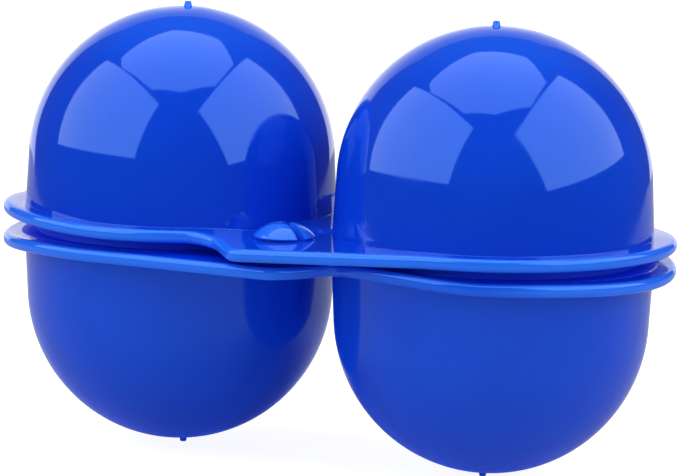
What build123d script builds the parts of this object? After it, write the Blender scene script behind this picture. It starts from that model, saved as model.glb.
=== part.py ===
"""Egg keeper for two hen's eggs: a base and a flip lid, each with two domed cups on one flange.

Frame: +X along the pair of cups, -Y to the front, where the snap is, +Z up. The origin is below the
middle of the whole, on the level of the two tips that it stands on. All sizes are in millimetres.
"""
import os
from math import cos, radians, sin, sqrt, tan

from build123d import *

# ---- cups ----
MOUTH_R = 25.35  # outside radius of a cup where it leaves its flange
CUP_SPACE = 4.5  # between the two cups at their mouths
WALL = 1.5  # wall of every cup
DRAFT = 3.0  # draft of the straight part of the wall, in degrees
BASE_DEPTH = 35.3  # from the parting plane to the outside of a base dome
LID_DEPTH = 35.5  # from the parting plane to the outside of a lid dome
COVE_R = 0.6  # cove between a cup and the outer face of its flange

# ---- moulding mark at each dome's tip ----
GATE_HEIGHT = 1.0
GATE_ROOT_R = 0.62
GATE_TIP_R = 0.42

# ---- flanges ----
RING_WIDTH = 3.55  # how far the flange stands out all round a cup
FLANGE_T = 2.0
FLANGE_GAP = 1.8  # between the two flanges, closed
FLANGE_EDGE_R = 0.5  # rounding of the outer edges

# ---- locating rim of a base cup, inside the lid's mouth ----
RIM_FIT = 0.3  # radial play between the rim and the lid
RIM_T = 1.2
RIM_HEIGHT = 2.2  # how far it stands into the lid, above the lid's mouth
RIM_LEAD = 0.45  # chamfer on its outer top edge
RIM_SEAT = 1.6  # how far the thick part reaches down below the base flange

# ---- snap stud and its tab ----
STUD_INSET = 10.3  # from the line along the rings' fronts back to the stud
STUD_HEAD_R = 4.95
STUD_TOP_R = 1.7
STUD_HEAD_H = 2.25
STUD_LIP = 0.3  # chamfer below the head's widest line
STUD_CROWN = 0.3  # how far the head's side bulges out
STUD_NECK_R = 3.6
STUD_BOSS_R = 5.4
STUD_SLOT = 1.4
STUD_PRONGS = 3
HOLE_PLAY = 0.4  # radial play of the neck in the lid's hole
SEAT_PLAY = 0.1  # between the boss and the lid's tab
HEAD_PLAY = 0.3  # between the lid's tab and the head

# ---- finger tabs at the front: the lid's and the base's, handed opposite ways ----
LID_TAB_OUT = 4.0  # how far the tab's corner stands in front of the rings
LID_TAB_X = -1.1  # middle of the tab's rounded corner
LID_TAB_R = 3.4  # radius of that corner
LID_SHOULDER_R = 6.5  # inward curve where the tab leaves the other ring
BASE_TAB_OUT = 1.3
BASE_TAB_X = 1.4
BASE_TAB_R = 3.8
BASE_SHOULDER_R = 3.0
TAB_FLANK_SIDE = 15.5  # the slanting end of a tab meets the other ring this far from its axis
TAB_FLANK_INSET = 11.0  # how far that is behind the rings' fronts
TAB_FLANK_R = 2.5
TAB_DROP = 0.9  # how far the lid's tab is joggled down towards the base
JOGGLE_LEAD = 1.5  # from the joggle's foot to the middle of the tab's corner
JOGGLE_RUN = 10.7  # along X, over which the flange goes down
JOGGLE_INSET = 17.0  # how far the joggle reaches back from the rings' fronts

# ---- clip hinge at the back ----
PIN_R = 1.5
PIN_PLAY = 0.05  # running fit of the clip on the bar
CLIP_R = 3.0
CLIP_LENGTH = 17.4
CLIP_MOUTH = 2.3  # the slot that snaps over the bar
CLIP_MOUTH_TURN = -40.0  # where that slot points, in degrees above the backward level
EAR_T = 2.4
EAR_R = 3.0
EAR_FOOT = 0.6  # how far an ear stays as thick as the flange it stands on
EAR_PLAY = 0.25  # along the bar, at each end of the clip
HINGE_PLAY = 0.3  # between the knuckles and the flanges' back edges

# ---- worked out from the above ----
FLANGE_R = MOUTH_R + RING_WIDTH
CUP_X = MOUTH_R + CUP_SPACE / 2
FRONT_REACH = FLANGE_R + LID_TAB_OUT
HINGE_REACH = FLANGE_R + HINGE_PLAY + max(CLIP_R, EAR_R)
BACK_REACH = HINGE_REACH + max(CLIP_R, EAR_R)
AXIS_Y = (FRONT_REACH - BACK_REACH) / 2  # line of the cups' axes, so that the whole is centred
HINGE_Y = AXIS_Y + HINGE_REACH
FRONT_Y = AXIS_Y - FLANGE_R  # the line along the rings' fronts
BACK_Y = AXIS_Y + FLANGE_R
STUD_Y = FRONT_Y + STUD_INSET
TAB_FLANK_X = CUP_X - TAB_FLANK_SIDE
JOGGLE_END = LID_TAB_X - JOGGLE_LEAD
JOGGLE_START = JOGGLE_END - JOGGLE_RUN
PART_Z = BASE_DEPTH + GATE_HEIGHT  # the parting plane
HALF_GAP = FLANGE_GAP / 2
FLANGE_OUT = HALF_GAP + FLANGE_T  # from the parting plane to a flange's outer face
HOLE_R = STUD_NECK_R + HOLE_PLAY
COLLAR_R = MOUTH_R + COVE_R  # collar of a base cup, level with its flange, that carries the cove
RIM_R = MOUTH_R - WALL - RIM_FIT
TAB_TOP = FLANGE_OUT - TAB_DROP
TAB_BOTTOM = HALF_GAP - TAB_DROP
BOSS_TOP = TAB_BOTTOM - SEAT_PLAY
HEAD_BOTTOM = TAB_TOP + HEAD_PLAY
EAR_X = CLIP_LENGTH / 2 + EAR_PLAY
TINY = 0.001
PLATE_X = CUP_X + FLANGE_R + 5  # well past the flanges' ends
PLATE_Y = FRONT_REACH + 5  # well past the front

os.makedirs("parts", exist_ok=True)


def cup_plane(x, up):
    """Plane through a cup's axis: local x outwards, local y from the parting plane to the dome."""
    return Plane(origin=(x, AXIS_Y, PART_Z), x_dir=(1, 0, 0), z_dir=(0, -up, 0))


def dome_radius(depth):
    """Radius of the dome that the drafted wall runs into smoothly at this depth."""
    slope = radians(DRAFT)
    return (MOUTH_R / tan(slope) - (depth - FLANGE_OUT)) / (1 / sin(slope) - 1)


def wall_end(radius):
    """Radius and height at which the drafted wall meets that dome."""
    slope = radians(DRAFT)
    end_r = radius * cos(slope)
    return end_r, FLANGE_OUT + (MOUTH_R - end_r) / tan(slope)


def outer_wall(depth):
    """Half section of a cup's outside as far as the tip, filled to the axis."""
    radius = dome_radius(depth)
    end_r, end_h = wall_end(radius)
    middle_h = depth - radius
    root_h = middle_h + sqrt(radius**2 - GATE_ROOT_R**2)
    turn = radians(45)
    with BuildLine() as section:
        Line((0, HALF_GAP), (MOUTH_R, HALF_GAP))
        Line((MOUTH_R, HALF_GAP), (MOUTH_R, FLANGE_OUT))
        Line((MOUTH_R, FLANGE_OUT), (end_r, end_h))
        ThreePointArc(
            (end_r, end_h),
            (radius * cos(turn), middle_h + radius * sin(turn)),
            (GATE_ROOT_R, root_h),
        )
        Line((GATE_ROOT_R, root_h), (GATE_TIP_R, depth + GATE_HEIGHT))
        Line((GATE_TIP_R, depth + GATE_HEIGHT), (0, depth + GATE_HEIGHT))
        Line((0, depth + GATE_HEIGHT), (0, HALF_GAP))
    make_face(section.edges())


def cove():
    """Half section of the cove that runs round a cup on its flange."""
    with BuildLine() as section:
        Line((MOUTH_R - WALL / 2, FLANGE_OUT), (MOUTH_R + COVE_R, FLANGE_OUT))
        RadiusArc((MOUTH_R + COVE_R, FLANGE_OUT), (MOUTH_R, FLANGE_OUT + COVE_R), COVE_R)
        Line((MOUTH_R, FLANGE_OUT + COVE_R), (MOUTH_R - WALL / 2, FLANGE_OUT + COVE_R))
        Line((MOUTH_R - WALL / 2, FLANGE_OUT + COVE_R), (MOUTH_R - WALL / 2, FLANGE_OUT))
    make_face(section.edges())


def inner_wall(depth):
    """Half section of the egg's space in a cup: the outside moved in by the wall."""
    radius = dome_radius(depth)
    end_r, end_h = wall_end(radius)
    slope = radians(DRAFT)
    middle_h = depth - radius
    mouth_r = MOUTH_R - WALL
    inner_r = end_r - WALL * cos(slope)
    inner_h = end_h - WALL * sin(slope)
    turn = radians(45)
    with BuildLine() as section:
        Line((0, 0), (mouth_r, 0))
        Line((mouth_r, 0), (mouth_r, HALF_GAP))
        Line((mouth_r, HALF_GAP), (inner_r, inner_h))
        ThreePointArc(
            (inner_r, inner_h),
            ((radius - WALL) * cos(turn), middle_h + (radius - WALL) * sin(turn)),
            (0, depth - WALL),
        )
        Line((0, depth - WALL), (0, 0))
    make_face(section.edges(), mode=Mode.SUBTRACT)


def collar():
    """Half section of the collar by which a base cup sits in its flange."""
    with BuildLine() as section:
        Polyline(
            (MOUTH_R - WALL / 2, HALF_GAP),
            (COLLAR_R, HALF_GAP),
            (COLLAR_R, FLANGE_OUT),
            (MOUTH_R - WALL / 2, FLANGE_OUT),
            close=True,
        )
    make_face(section.edges())


def rim_ring():
    """Half section of the locating rim and of the thick part that carries it."""
    foot = FLANGE_OUT + RIM_SEAT
    top = -(HALF_GAP + RIM_HEIGHT)
    outer = MOUTH_R - WALL / 2
    with BuildLine() as section:
        Polyline(
            (RIM_R - RIM_T, top),
            (RIM_R - RIM_LEAD, top),
            (RIM_R, top + RIM_LEAD),
            (RIM_R, HALF_GAP),
            (outer, HALF_GAP),
            (outer, foot + RIM_SEAT),
            (RIM_R + RIM_FIT / 2, foot + RIM_SEAT),
            (RIM_R - RIM_T, foot),
            close=True,
        )
    make_face(section.edges())


def cup(x, up, depth):
    """One cup as a solid of revolution; a base cup (up = -1) also has its collar and rim."""
    with BuildPart() as body:
        with BuildSketch(cup_plane(x, up)):
            outer_wall(depth)
            cove()
            inner_wall(depth)
            if up < 0:
                collar()
                rim_ring()
        revolve(axis=Axis((x, AXIS_Y, 0), (0, 0, 1)))
    return body


def flange_outline(ring_side, tab_x, tab_r, tab_out, shoulder_r):
    """Outline of a flange: two rings, a web between them and a finger tab at the front.

    The tab's front edge runs straight off the ring on ring_side, round the tab's corner and back
    into the other ring with an inward curve.
    """
    with BuildSketch() as tab:
        with Locations((ring_side * CUP_X, AXIS_Y)):
            Circle(FLANGE_R)
        with Locations((tab_x, FRONT_Y - tab_out + tab_r)):
            Circle(tab_r)
        with Locations((-ring_side * TAB_FLANK_X, FRONT_Y + TAB_FLANK_INSET)):
            Circle(TAB_FLANK_R)
        make_hull()
    with BuildSketch() as outline:
        with Locations((-CUP_X, AXIS_Y), (CUP_X, AXIS_Y)):
            Circle(FLANGE_R)
        with Locations((0, AXIS_Y + FLANGE_R / 2)):
            Rectangle(2 * CUP_X, FLANGE_R)
        add(tab.sketch)
        shoulder = outline.vertices().sort_by_distance(
            (-ring_side * TAB_FLANK_X, FRONT_Y + TAB_FLANK_R)
        )[0]
        fillet(shoulder, radius=shoulder_r)
    return outline.sketch


def rim_edges(flange, outline, facing):
    """Edges all round a flange's upper (facing = 1) or lower (facing = -1) face."""
    rim = outline.face().outer_wire()

    def on_rim(edge):
        middle = edge @ 0.5
        return (
            rim.distance_to(Vertex(middle.X, middle.Y, 0)) < TINY
            and any(edge.is_same(side) for face in level for side in face.edges())
        )

    level = flange.faces().filter_by(lambda face: face.normal_at().Z * facing > 0.9)
    return flange.edges().filter_by(on_rim)


def cup_holes(radius, height, amount):
    """Cut the two holes that the cups fill, upwards from this height."""
    with BuildSketch(Plane.XY.offset(height)) as mouths:
        with Locations((-CUP_X, AXIS_Y), (CUP_X, AXIS_Y)):
            Circle(radius)
    extrude(mouths.sketch, amount=amount, mode=Mode.SUBTRACT)


def tab_level(height):
    """One face of the lid's flange as the front shows it: level, joggled down, easing up again."""
    middle = (JOGGLE_START + JOGGLE_END) / 2
    low = height - TAB_DROP
    Line((-PLATE_X, height), (JOGGLE_START, height))
    Bezier((JOGGLE_START, height), (middle, height), (middle, low), (JOGGLE_END, low))
    Line((JOGGLE_END, low), (CUP_X, height))
    Line((CUP_X, height), (PLATE_X, height))


# ---- cups ----
base_cup_left = cup(-CUP_X, -1, BASE_DEPTH)
base_cup_right = cup(CUP_X, -1, BASE_DEPTH)
lid_cup_left = cup(-CUP_X, 1, LID_DEPTH)
lid_cup_right = cup(CUP_X, 1, LID_DEPTH)

# ---- base flange ----
base_outline = flange_outline(-1, BASE_TAB_X, BASE_TAB_R, BASE_TAB_OUT, BASE_SHOULDER_R)
with BuildPart() as base_flange:
    with BuildSketch(Plane.XY.offset(PART_Z - FLANGE_OUT)):
        add(base_outline)
    extrude(amount=FLANGE_T)
    for facing in (1, -1):
        fillet(rim_edges(base_flange, base_outline, facing), radius=FLANGE_EDGE_R)
    cup_holes(COLLAR_R, PART_Z - FLANGE_OUT, FLANGE_T)

# ---- lid flange, with the joggled tab and the hole that the stud's head snaps through ----
lid_outline = flange_outline(1, LID_TAB_X, LID_TAB_R, LID_TAB_OUT, LID_SHOULDER_R)
joggle_y = FRONT_Y + JOGGLE_INSET
with BuildPart() as lid_flange:
    with BuildSketch(Plane.XZ.offset(-joggle_y)):
        with BuildLine():
            tab_level(PART_Z + FLANGE_OUT)
            tab_level(PART_Z + HALF_GAP)
            for end_x in (-PLATE_X, PLATE_X):
                Line((end_x, PART_Z + HALF_GAP), (end_x, PART_Z + FLANGE_OUT))
        make_face()
    extrude(amount=PLATE_Y)
    with BuildSketch(Plane.XY.offset(PART_Z + HALF_GAP)):
        with Locations((0, joggle_y + PLATE_Y)):
            Rectangle(2 * PLATE_X, 2 * PLATE_Y)
    extrude(amount=FLANGE_T)
    with BuildSketch(Plane.XY.offset(PART_Z - FLANGE_OUT)):
        add(lid_outline)
    extrude(amount=2 * FLANGE_OUT, mode=Mode.INTERSECT)
    fillet(rim_edges(lid_flange, lid_outline, 1), radius=FLANGE_EDGE_R)
    cup_holes(MOUTH_R, PART_Z - FLANGE_OUT, 2 * FLANGE_OUT)
    with BuildSketch(Plane.XY.offset(PART_Z - FLANGE_OUT)):
        with Locations((0, STUD_Y)):
            Circle(HOLE_R)
    extrude(amount=2 * FLANGE_OUT, mode=Mode.SUBTRACT)

# ---- snap stud: a boss that the lid's tab lies on, a neck and a head in three springy prongs ----
with BuildPart() as snap_stud:
    with BuildSketch(Plane(origin=(0, STUD_Y, PART_Z), x_dir=(1, 0, 0), z_dir=(0, -1, 0))):
        head_top = HEAD_BOTTOM + STUD_HEAD_H
        with BuildLine():
            Polyline(
                (0, head_top),
                (0, -HALF_GAP),
                (STUD_BOSS_R, -HALF_GAP),
                (STUD_BOSS_R, BOSS_TOP),
                (STUD_NECK_R, BOSS_TOP),
                (STUD_NECK_R, HEAD_BOTTOM),
                (STUD_HEAD_R - STUD_LIP, HEAD_BOTTOM),
                (STUD_HEAD_R, HEAD_BOTTOM + STUD_LIP),
            )
            SagittaArc(
                (STUD_HEAD_R, HEAD_BOTTOM + STUD_LIP), (STUD_TOP_R, head_top), -STUD_CROWN
            )
            Line((STUD_TOP_R, head_top), (0, head_top))
        make_face()
    revolve(axis=Axis((0, STUD_Y, 0), (0, 0, 1)))
    with BuildSketch(Plane.XY.offset(PART_Z + BOSS_TOP)):
        with Locations((0, STUD_Y)):
            with PolarLocations(STUD_HEAD_R / 2 + STUD_LIP, STUD_PRONGS, start_angle=90):
                Rectangle(STUD_HEAD_R + 2 * STUD_LIP, STUD_SLOT)
    extrude(amount=head_top - BOSS_TOP, mode=Mode.SUBTRACT)

# ---- clip hinge: ears and a bar on the base, a long C-shaped clip on the lid ----
with BuildPart() as hinge_ears:
    for start_x in (-EAR_X - EAR_T, EAR_X):
        with BuildSketch(Plane.YZ.offset(start_x)):
            with Locations((HINGE_Y, PART_Z)):
                Circle(EAR_R)
            with Locations((BACK_Y + EAR_FOOT / 2, PART_Z - HALF_GAP - FLANGE_T / 2)):
                Rectangle(EAR_FOOT, FLANGE_T)
            make_hull()
        extrude(amount=EAR_T)

with BuildPart() as hinge_bar:
    with BuildSketch(Plane.YZ.offset(-EAR_X)):
        with Locations((HINGE_Y, PART_Z)):
            Circle(PIN_R)
    extrude(amount=2 * EAR_X)

with BuildPart() as hinge_clip:
    with BuildSketch(Plane.YZ.offset(-CLIP_LENGTH / 2)):
        with Locations((HINGE_Y, PART_Z)):
            Circle(CLIP_R)
        with Locations(((BACK_Y + HINGE_Y) / 2, PART_Z + HALF_GAP + FLANGE_T / 2)):
            Rectangle(HINGE_Y - BACK_Y, FLANGE_T)
        with Locations((HINGE_Y, PART_Z)):
            Circle(PIN_R + PIN_PLAY, mode=Mode.SUBTRACT)
        with Locations(Location((HINGE_Y, PART_Z), CLIP_MOUTH_TURN)):
            Rectangle(CLIP_R + PIN_R, CLIP_MOUTH, align=(Align.MIN, Align.CENTER), mode=Mode.SUBTRACT)
    extrude(amount=CLIP_LENGTH)

# ---- hand over the pieces ----
base_flange.part.label = "base_flange"
export_step(base_flange.part, "parts/base_flange.step")
lid_flange.part.label = "lid_flange"
export_step(lid_flange.part, "parts/lid_flange.step")
snap_stud.part.label = "snap_stud"
export_step(snap_stud.part, "parts/snap_stud.step")
hinge_ears.part.label = "hinge_ears"
export_step(hinge_ears.part, "parts/hinge_ears.step")
hinge_bar.part.label = "hinge_bar"
export_step(hinge_bar.part, "parts/hinge_bar.step")
hinge_clip.part.label = "hinge_clip"
export_step(hinge_clip.part, "parts/hinge_clip.step")
base_cup_left.part.label = "base_cup_left"
export_step(base_cup_left.part, "parts/base_cup_left.step")
base_cup_right.part.label = "base_cup_right"
export_step(base_cup_right.part, "parts/base_cup_right.step")
lid_cup_left.part.label = "lid_cup_left"
export_step(lid_cup_left.part, "parts/lid_cup_left.step")
lid_cup_right.part.label = "lid_cup_right"
export_step(lid_cup_right.part, "parts/lid_cup_right.step")
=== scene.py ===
import logging
from dataclasses import dataclass, field
from enum import Enum
from typing import Sequence

import bmesh
import bpy
import numpy as np
from mathutils import Matrix, Vector
from mathutils.geometry import delaunay_2d_cdt


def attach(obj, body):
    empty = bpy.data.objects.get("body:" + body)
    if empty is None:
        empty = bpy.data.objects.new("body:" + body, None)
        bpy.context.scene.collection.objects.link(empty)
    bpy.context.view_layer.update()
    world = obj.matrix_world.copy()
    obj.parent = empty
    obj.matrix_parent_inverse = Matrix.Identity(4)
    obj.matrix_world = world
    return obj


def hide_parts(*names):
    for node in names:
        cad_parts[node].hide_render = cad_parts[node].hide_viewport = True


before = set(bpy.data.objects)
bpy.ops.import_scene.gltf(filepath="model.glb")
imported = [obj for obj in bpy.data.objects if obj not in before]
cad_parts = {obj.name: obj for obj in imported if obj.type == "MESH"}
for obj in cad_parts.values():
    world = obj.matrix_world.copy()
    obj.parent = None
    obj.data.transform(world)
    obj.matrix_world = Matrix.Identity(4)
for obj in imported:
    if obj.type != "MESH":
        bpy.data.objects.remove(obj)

log = logging.getLogger("egg_keeper")

MM = 0.001
ROUND_STEPS = 240  # points round a cup and the holes that cups fill
PLAIN_STEPS = 96  # points round the stud's boss, the table top and the sweep
FINE_STEPS = 64  # points round a small hole or pin
BULKY_GLOW, THIN_GLOW, SLENDER_GLOW = 0.2, 0.3, 0.8  # thin attribute: share of painted glow, a paler colour standing in for light through the plastic
GAP, RIM = -1.0, -2.0  # thin attribute: a face between the flanges, a rim in a mouth; both take the painted gap glow
QUARTER = np.linspace(0, np.pi / 2, 9)  # angles along a rounded edge
WELD = 0.000002  # points closer than this become one, in metres
CREASE = 40.0  # a bevel rounds the edges that turn by more, in degrees
SLACK = 0.02  # a hair's breadth, in millimetres
FAR = 99.0  # past either end of the keeper along X, in millimetres
Array = np.ndarray
Pair = tuple[Array, Array]
Socket = bpy.types.NodeSocket
Material = bpy.types.Material
Object = bpy.types.Object


class Half(Enum):
    """The two mouldings of the keeper."""

    BASE = "base"
    LID = "lid"

    @property
    def up(self) -> int:
        """1 where the dome points up, -1 where it points down."""
        return 1 if self is Half.LID else -1

    @property
    def slot(self) -> str:
        """Material slot of this half in the record."""
        return self.value + "_blue"


@dataclass(frozen=True)
class KeeperSizes:
    """Sizes that the sub-assemblies share, in millimetres."""

    mouth_r: float = 25.35  # outside of a cup at its mouth
    cup_space: float = 4.5  # between a half's two cups
    wall: float = 1.5
    draft: float = 3.0  # slope of a cup's side, in degrees
    base_depth: float = 35.3  # parting plane to the pole of a base cup
    lid_depth: float = 35.5  # the same for a lid cup
    cove_r: float = 0.6  # room for the collars of the base's cups
    tip_h: float = 1.0  # marks that the base stands on
    ring_width: float = 3.55  # flange outside a cup's mouth
    flange_t: float = 2.0
    gap: float = 1.8  # between the two flanges
    tab_out: float = 4.0  # lid's tab before the rings
    tab_drop: float = 0.9  # joggle of the lid's tab
    snap_inset: float = 10.3  # rings' front to the stud's axis
    seat_play: float = 0.1  # between the stud's boss and the lid's tab
    sunk: float = 0.4  # of the boss and the lid's collars in a flange
    root: float = 0.3  # of the prongs in the boss and the bar in the ears
    knuckle_r: float = 3.0  # of the hinge's clip and ears
    knuckle_play: float = 0.3  # between them and the flanges

    @property
    def cup_x(self) -> float:
        """Distance of a cup's axis from the middle."""
        return self.mouth_r + self.cup_space / 2

    @property
    def ring_r(self) -> float:
        """Outside radius of the flange round a cup."""
        return self.mouth_r + self.ring_width

    @property
    def part_z(self) -> float:
        """Height of the parting plane."""
        return self.base_depth + self.tip_h

    @property
    def axis_y(self) -> float:
        """Line of the cups' axes; the keeper's middle is at 0."""
        back = self.knuckle_play + 2 * self.knuckle_r
        return (self.tab_out - back) / 2

    @property
    def half_gap(self) -> float:
        """From the parting plane to the near face of a flange."""
        return self.gap / 2

    @property
    def flange_out(self) -> float:
        """From the parting plane to the outer face of a flange."""
        return self.half_gap + self.flange_t

    @property
    def front_y(self) -> float:
        """Line along the fronts of the two rings."""
        return self.axis_y - self.ring_r

    @property
    def back_y(self) -> float:
        """Line of the flanges' straight back edge."""
        return self.axis_y + self.ring_r

    @property
    def boss_top(self) -> float:
        """Height of the stud's boss over the parting plane."""
        return self.half_gap - self.tab_drop - self.seat_play

    def depth(self, half: Half) -> float:
        """From the parting plane to the pole of this half's cups."""
        return self.lid_depth if half is Half.LID else self.base_depth


def unit(v: Array) -> Array:
    """Vectors along the last axis, scaled to length one."""
    return v / np.linalg.norm(v, axis=-1, keepdims=True)


def turned(v: Array, angle: float) -> Array:
    """A plane vector turned by an angle in radians, counterclockwise."""
    c, s = np.cos(angle), np.sin(angle)
    return np.stack([c * v[..., 0] - s * v[..., 1], s * v[..., 0] + c * v[..., 1]], axis=-1)


def heading(v: Array) -> float:
    """Direction of a plane vector, in radians."""
    return float(np.arctan2(v[1], v[0]))


def arc(centre: Array, radius: float, start: float, end: float, steps: int) -> Array:
    """Points on a circle: centre plus radius times (cos a, sin a), a from start to end."""
    a = np.linspace(start, end, steps)
    return np.asarray(centre) + radius * np.stack([np.cos(a), np.sin(a)], axis=-1)


def circle(centre: Array, radius: float, steps: int) -> Array:
    """Points round a whole circle, each once."""
    return arc(centre, radius, 0, 2 * np.pi, steps + 1)[:-1]


def around(steps: int) -> Array:
    """Angles of even directions all round."""
    return np.linspace(0, 2 * np.pi, steps + 1)[:-1]


def smoothstep(x: Array, low: float, high: float) -> Array:
    """Rises from 0 at low to 1 at high as 3t^2 - 2t^3."""
    t = np.clip((x - low) / (high - low), 0.0, 1.0)
    return t * t * (3 - 2 * t)


def spaced(line: Array, least: float) -> Array:
    """A polyline without the points that lie closer than this to the one before."""
    return line[np.r_[True, np.linalg.norm(np.diff(line, axis=0), axis=1) > least]]


def rounded(points: Sequence, radii: Sequence, steps: int = 6) -> Array:
    """Open polyline whose corners are arcs.

    At a corner that turns by t, the arc of radius r starts r tan(t/2) before the corner and runs
    as start + r (sin a d + (1 - cos a) n), with d the direction in, n its normal on the turn's
    side, and a from 0 to t.

    Args:
        points: Corners in order.
        radii: Radius at each corner; the two ends aren't rounded.
        steps: Points on each arc.

    Returns:
        Points without repeats.
    """
    p = np.asarray(points, float)
    r = np.asarray(radii, float)[1:-1]
    d_in, d_out = unit(p[1:-1] - p[:-2]), unit(p[2:] - p[1:-1])
    cross = d_in[:, 0] * d_out[:, 1] - d_in[:, 1] * d_out[:, 0]
    turn = np.arctan2(cross, (d_in * d_out).sum(1))
    start = p[1:-1] - (r * np.tan(np.abs(turn) / 2))[:, None] * d_in
    normal = np.stack([-d_in[:, 1], d_in[:, 0]], 1) * np.sign(turn)[:, None]
    a = np.linspace(0, 1, steps)[None, :, None] * np.abs(turn)[:, None, None]
    bend = start[:, None] + r[:, None, None] * (
        np.sin(a) * d_in[:, None] + (1 - np.cos(a)) * normal[:, None]
    )
    return spaced(np.concatenate([p[:1], bend.reshape(-1, 2), p[-1:]]), 1e-6)


def dense(line: Array, step: float) -> Array:
    """Adds evenly spaced points along a polyline.

    Args:
        line: Points of the polyline.
        step: Longest run that stays.

    Returns:
        The old points with the new ones between them.
    """
    runs = np.linalg.norm(np.diff(line, axis=0), axis=1)
    at = np.r_[0, np.cumsum(runs)]
    parts = np.maximum(np.ceil(runs / step).astype(int), 1)
    before = np.repeat(np.cumsum(parts) - parts, parts)
    share = (np.arange(parts.sum()) - before) / np.repeat(parts, parts)
    s = np.r_[np.repeat(at[:-1], parts) + share * np.repeat(runs, parts), at[-1]]
    return np.stack([np.interp(s, at, v) for v in line.T], 1)


def lathe(section: Array, turn: Array, centre: Sequence = (0.0, 0.0, 0.0)) -> Array:
    """Turns a section about an upright axis: (x + r cos a, y + r sin a, z + h).

    Args:
        section: Points (r, h).
        turn: Angles a, the same for all points or one row for each.
        centre: Point (x, y, z) of the axis.

    Returns:
        Grid of points, a row for each point of the section.
    """
    r, h = section[:, :1], section[:, 1:]
    x, y, z = centre
    return np.dstack([x + r * np.cos(turn), y + r * np.sin(turn), z + h + 0 * turn])


def grid_faces(rows: int, cols: int, close_rows: bool = False, close_cols: bool = False) -> Array:
    """Quads of a grid whose point (i, j) has the number i * cols + j.

    Args:
        rows: Rows of points.
        cols: Points in a row.
        close_rows: Whether the last row joins the first.
        close_cols: The same for the columns.

    Returns:
        Four point numbers for each face.
    """
    last = rows - (not close_rows), cols - (not close_cols)
    i, j = np.meshgrid(*map(np.arange, last), indexing="ij")
    i2, j2 = (i + 1) % rows, (j + 1) % cols
    quads = [i * cols + j, i2 * cols + j, i2 * cols + j2, i * cols + j2]
    return np.stack(quads, -1).reshape(-1, 4)


def placed(name: str, data: bpy.types.ID) -> Object:
    """Puts a mesh, light or camera into the scene.

    Args:
        name: Name of the new object.
        data: The mesh, light or camera.

    Returns:
        The new object.
    """
    thing = bpy.data.objects.new(name, data)
    bpy.context.scene.collection.objects.link(thing)
    return thing


def smooth_mesh(name: str, points: Array, faces: list, material: Material) -> bpy.types.Mesh:
    """Makes a smooth mesh.

    Args:
        name: Name of the mesh.
        points: Grid or list of its points, in metres.
        faces: Its faces.
        material: Its finish.

    Returns:
        The mesh.
    """
    mesh = bpy.data.meshes.new(name)
    mesh.from_pydata(points.reshape(-1, 3).tolist(), [], faces)
    mesh.polygons.foreach_set("use_smooth", np.ones(len(mesh.polygons), bool))
    mesh.materials.append(material)
    return mesh


@dataclass
class Shell:
    """Points, faces and thin attribute (share of painted glow) of a mesh put together from several
    surfaces.
    """

    points: list = field(default_factory=list)
    faces: list = field(default_factory=list)
    thin: list = field(default_factory=list)

    def add(self, points: Array, faces: Sequence, thin: float | Array = 0.0) -> None:
        """Joins one surface on.

        Args:
            points: Its points in millimetres.
            faces: Its faces, as rows of point numbers that start from 0.
            thin: Its thin attribute, the share of painted glow, one for all its points or one for
                each.
        """
        before = sum(map(len, self.points))
        self.points.append(np.asarray(points, float).reshape(-1, 3))
        self.thin.append(np.broadcast_to(np.ravel(thin), len(self.points[-1])))
        self.faces += [(np.asarray(f) + before).tolist() for f in faces]

    def piece(
        self, name: str, half: Half, material: Material, nodes: Sequence[str], bevel: float = 0.0
    ) -> None:
        """Makes the object, closes its seams, turns its faces outwards and lets it ride.

        Args:
            name: Name of the piece.
            half: The half that it rides on.
            material: Its finish.
            nodes: CAD nodes that it stands for.
            bevel: Rounding of its sharp edges, in millimetres; 0 for none.
        """
        mesh = smooth_mesh(name, np.concatenate(self.points) * MM, self.faces, material)
        layer = mesh.attributes.new("thin", "FLOAT", "POINT")
        layer.data.foreach_set("value", np.concatenate(self.thin).astype(np.float32))
        bm = bmesh.new()
        bm.from_mesh(mesh)
        bmesh.ops.remove_doubles(bm, verts=bm.verts, dist=WELD)
        bmesh.ops.recalc_face_normals(bm, faces=bm.faces)
        bm.to_mesh(mesh)
        bm.free()
        piece = placed(name, mesh)
        if bevel:
            edge = piece.modifiers.new("rounding", "BEVEL")
            edge.width = bevel * MM
            edge.segments = 3
            edge.limit_method = "ANGLE"
            edge.angle_limit = np.radians(CREASE)
        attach(piece, half.value)
        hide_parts(*nodes)
        log.info("%s: %d points, %d faces, rides on %s",
                 name, len(mesh.vertices), len(mesh.polygons), half.value)


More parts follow.
